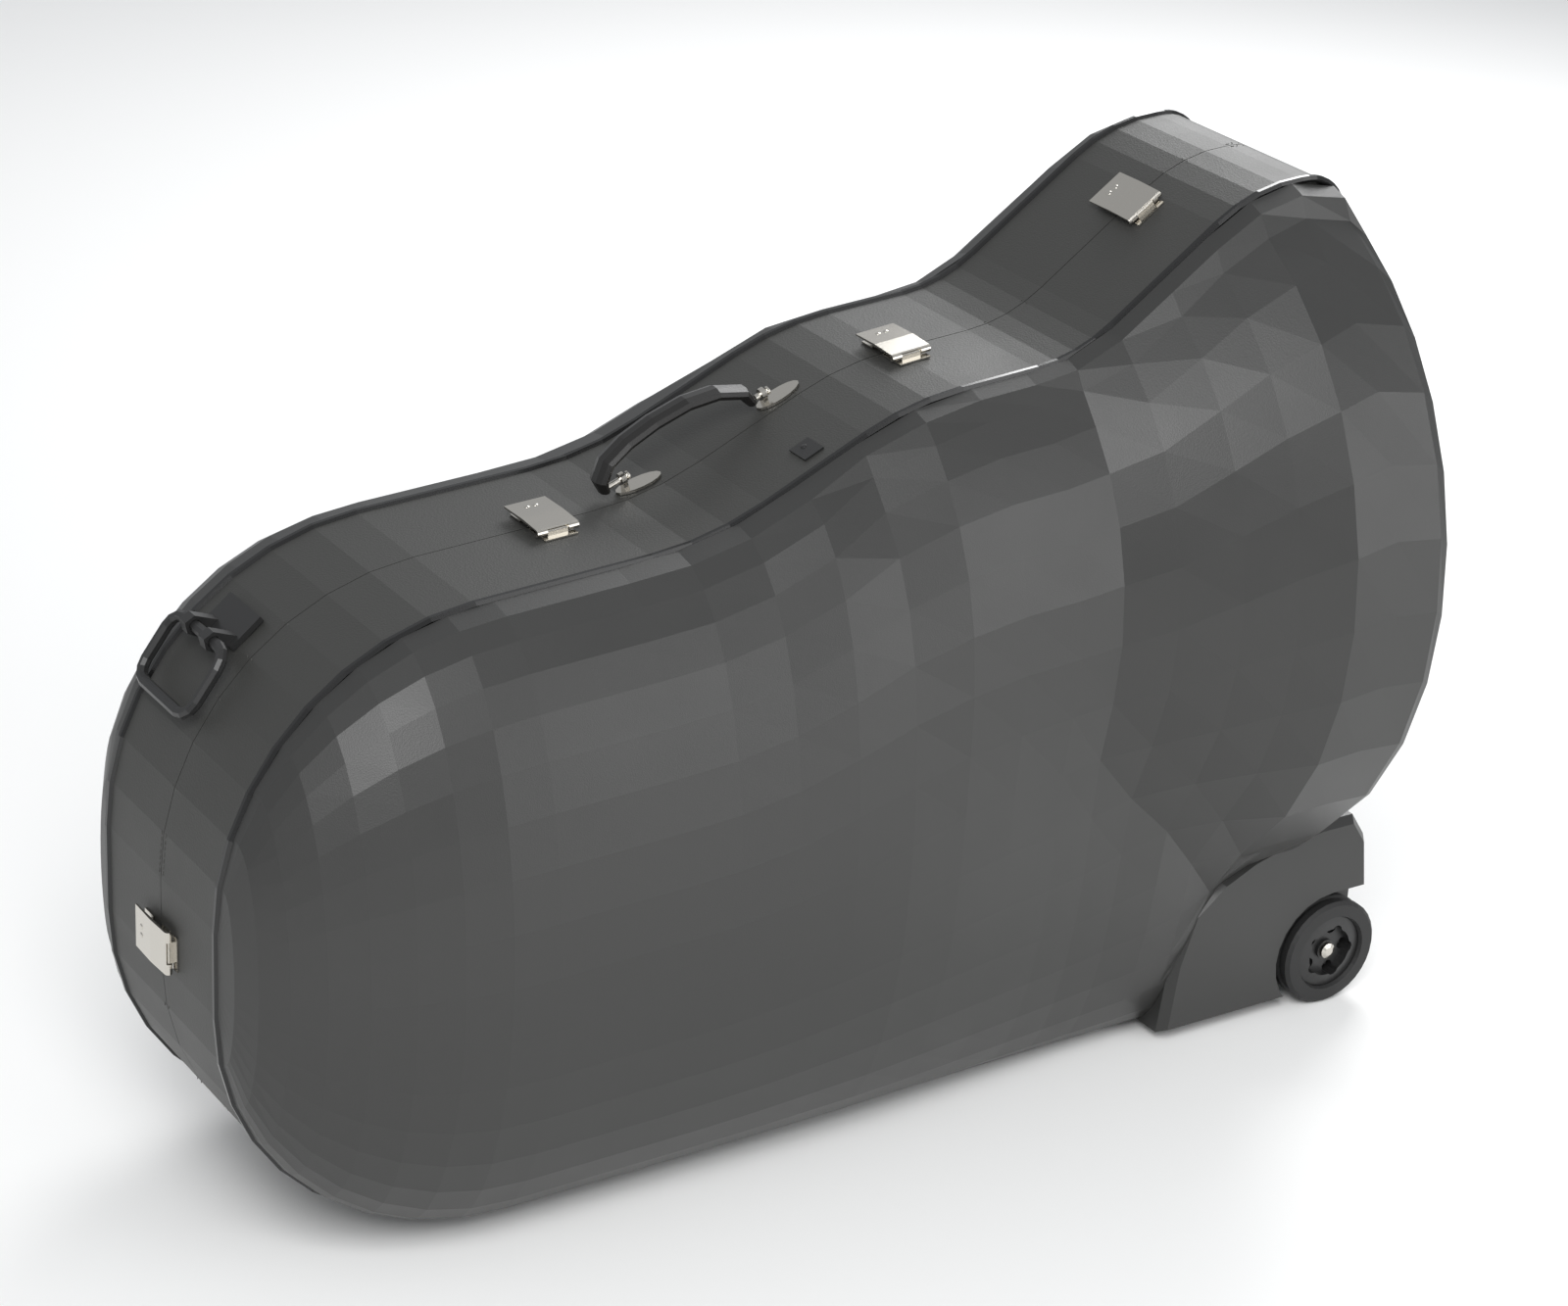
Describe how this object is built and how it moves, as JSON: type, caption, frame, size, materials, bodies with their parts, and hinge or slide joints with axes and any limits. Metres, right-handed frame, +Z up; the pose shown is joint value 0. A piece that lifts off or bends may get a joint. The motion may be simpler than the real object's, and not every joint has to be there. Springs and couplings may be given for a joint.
{
  "type": "tuba case",
  "caption": "Wheeled hard case for a tuba: two moulded black shells with a bell flare, hinged along a strap frame, with latches, a carry handle and an end pull handle.",
  "frame": {"origin": "on the floor under the middle of the standing case, in the plane where its two halves part", "axes": "+X from the narrow end to the bell end, +Y from the lid half to the handle half, +Z up"},
  "size_m": [1.0742, 0.548, 0.7378],
  "materials": {
    "abs": "satin, fine grain",
    "leathercloth": "imitation leather, dull",
    "piping": "glossy",
    "rubber": "dull",
    "dark_plastic": "satin",
    "nickel": "polished",
    "aluminium": "brushed",
    "plush": "short pile",
    "grip": "smooth"
  },
  "bodies": {
    "case_half": {"bell_cradle": "plush", "bow_cradle": "plush", "far_axle": "nickel", "far_foot": "rubber", "far_frame": "leathercloth", "far_piping": "piping", "far_shell": "abs", "frame_valance": "aluminium", "handle_mount_left": "nickel", "handle_mount_right": "nickel", "hinge_1_far_leaf": "nickel", "hinge_1_pin": "nickel", "hinge_2_far_leaf": "nickel", "hinge_2_pin": "nickel", "hinge_3_far_leaf": "nickel", "hinge_3_pin": "nickel", "latch_1_catch": "nickel", "latch_2_catch": "nickel", "latch_3_catch": "nickel", "latch_4_catch": "nickel", "pull_mount": "dark_plastic"},
    "far_wheel": {"far_hub": "dark_plastic", "far_tyre": "rubber"},
    "carry_handle": {"handle_grip": "grip", "handle_pin_left": "nickel", "handle_pin_right": "nickel"},
    "lid": {"hinge_1_near_leaf": "nickel", "hinge_2_near_leaf": "nickel", "hinge_3_near_leaf": "nickel", "latch_1_base": "nickel", "latch_2_base": "nickel", "latch_3_base": "nickel", "latch_4_base": "nickel", "near_axle": "nickel", "near_foot": "rubber", "near_frame": "leathercloth", "near_piping": "piping", "near_piping_clip": "dark_plastic", "near_shell": "abs"},
    "latch_1_swing": {"latch_1_hook": "nickel", "latch_1_lever": "nickel"},
    "latch_2_swing": {"latch_2_hook": "nickel", "latch_2_lever": "nickel"},
    "latch_3_swing": {"latch_3_hook": "nickel", "latch_3_lever": "nickel"},
    "latch_4_swing": {"latch_4_hook": "nickel", "latch_4_lever": "nickel"},
    "near_wheel": {"near_hub": "dark_plastic", "near_tyre": "rubber"},
    "pull_handle": {"pull_loop": "dark_plastic"}
  },
  "joints": [
    {"name": "lid_hinge", "type": "hinge", "parent": "case_half", "child": "lid", "pos_m": [0, 0, 0.0057], "axis": [1, 0, 0], "range_deg": [0, 100]},
    {"name": "latch_1_pivot", "type": "hinge", "parent": "lid", "child": "latch_1_swing", "pos_m": [-0.53295, -0.0225, 0.246], "axis": [0, 0, 1], "range_deg": [0, 100]},
    {"name": "latch_2_pivot", "type": "hinge", "parent": "lid", "child": "latch_2_swing", "pos_m": [-0.21726, -0.0225, 0.52392], "axis": [0.9981, 0, 0.0617], "range_deg": [0, 100]},
    {"name": "latch_3_pivot", "type": "hinge", "parent": "lid", "child": "latch_3_swing", "pos_m": [0.09151, -0.0225, 0.61471], "axis": [0.9941, 0, 0.1089], "range_deg": [0, 100]},
    {"name": "latch_4_pivot", "type": "hinge", "parent": "lid", "child": "latch_4_swing", "pos_m": [0.30714, -0.0225, 0.70335], "axis": [0.8133, 0, 0.5818], "range_deg": [0, 100]},
    {"name": "carry_handle_swing", "type": "hinge", "parent": "case_half", "child": "carry_handle", "pos_m": [-0.14195, 0.012, 0.53817], "axis": [0.9286, 0, 0.371], "range_deg": [-60, 60]},
    {"name": "pull_handle_swing", "type": "hinge", "parent": "case_half", "child": "pull_handle", "pos_m": [-0.47295, 0.045, 0.4635], "axis": [0, 1, 0], "range_deg": [0, 120]},
    {"name": "near_wheel_spin", "type": "hinge", "parent": "lid", "child": "near_wheel", "pos_m": [0.48905, -0.134, 0.048], "axis": [0, 1, 0], "continuous": true},
    {"name": "far_wheel_spin", "type": "hinge", "parent": "case_half", "child": "far_wheel", "pos_m": [0.48905, 0.134, 0.048], "axis": [0, 1, 0], "continuous": true}
  ]
}
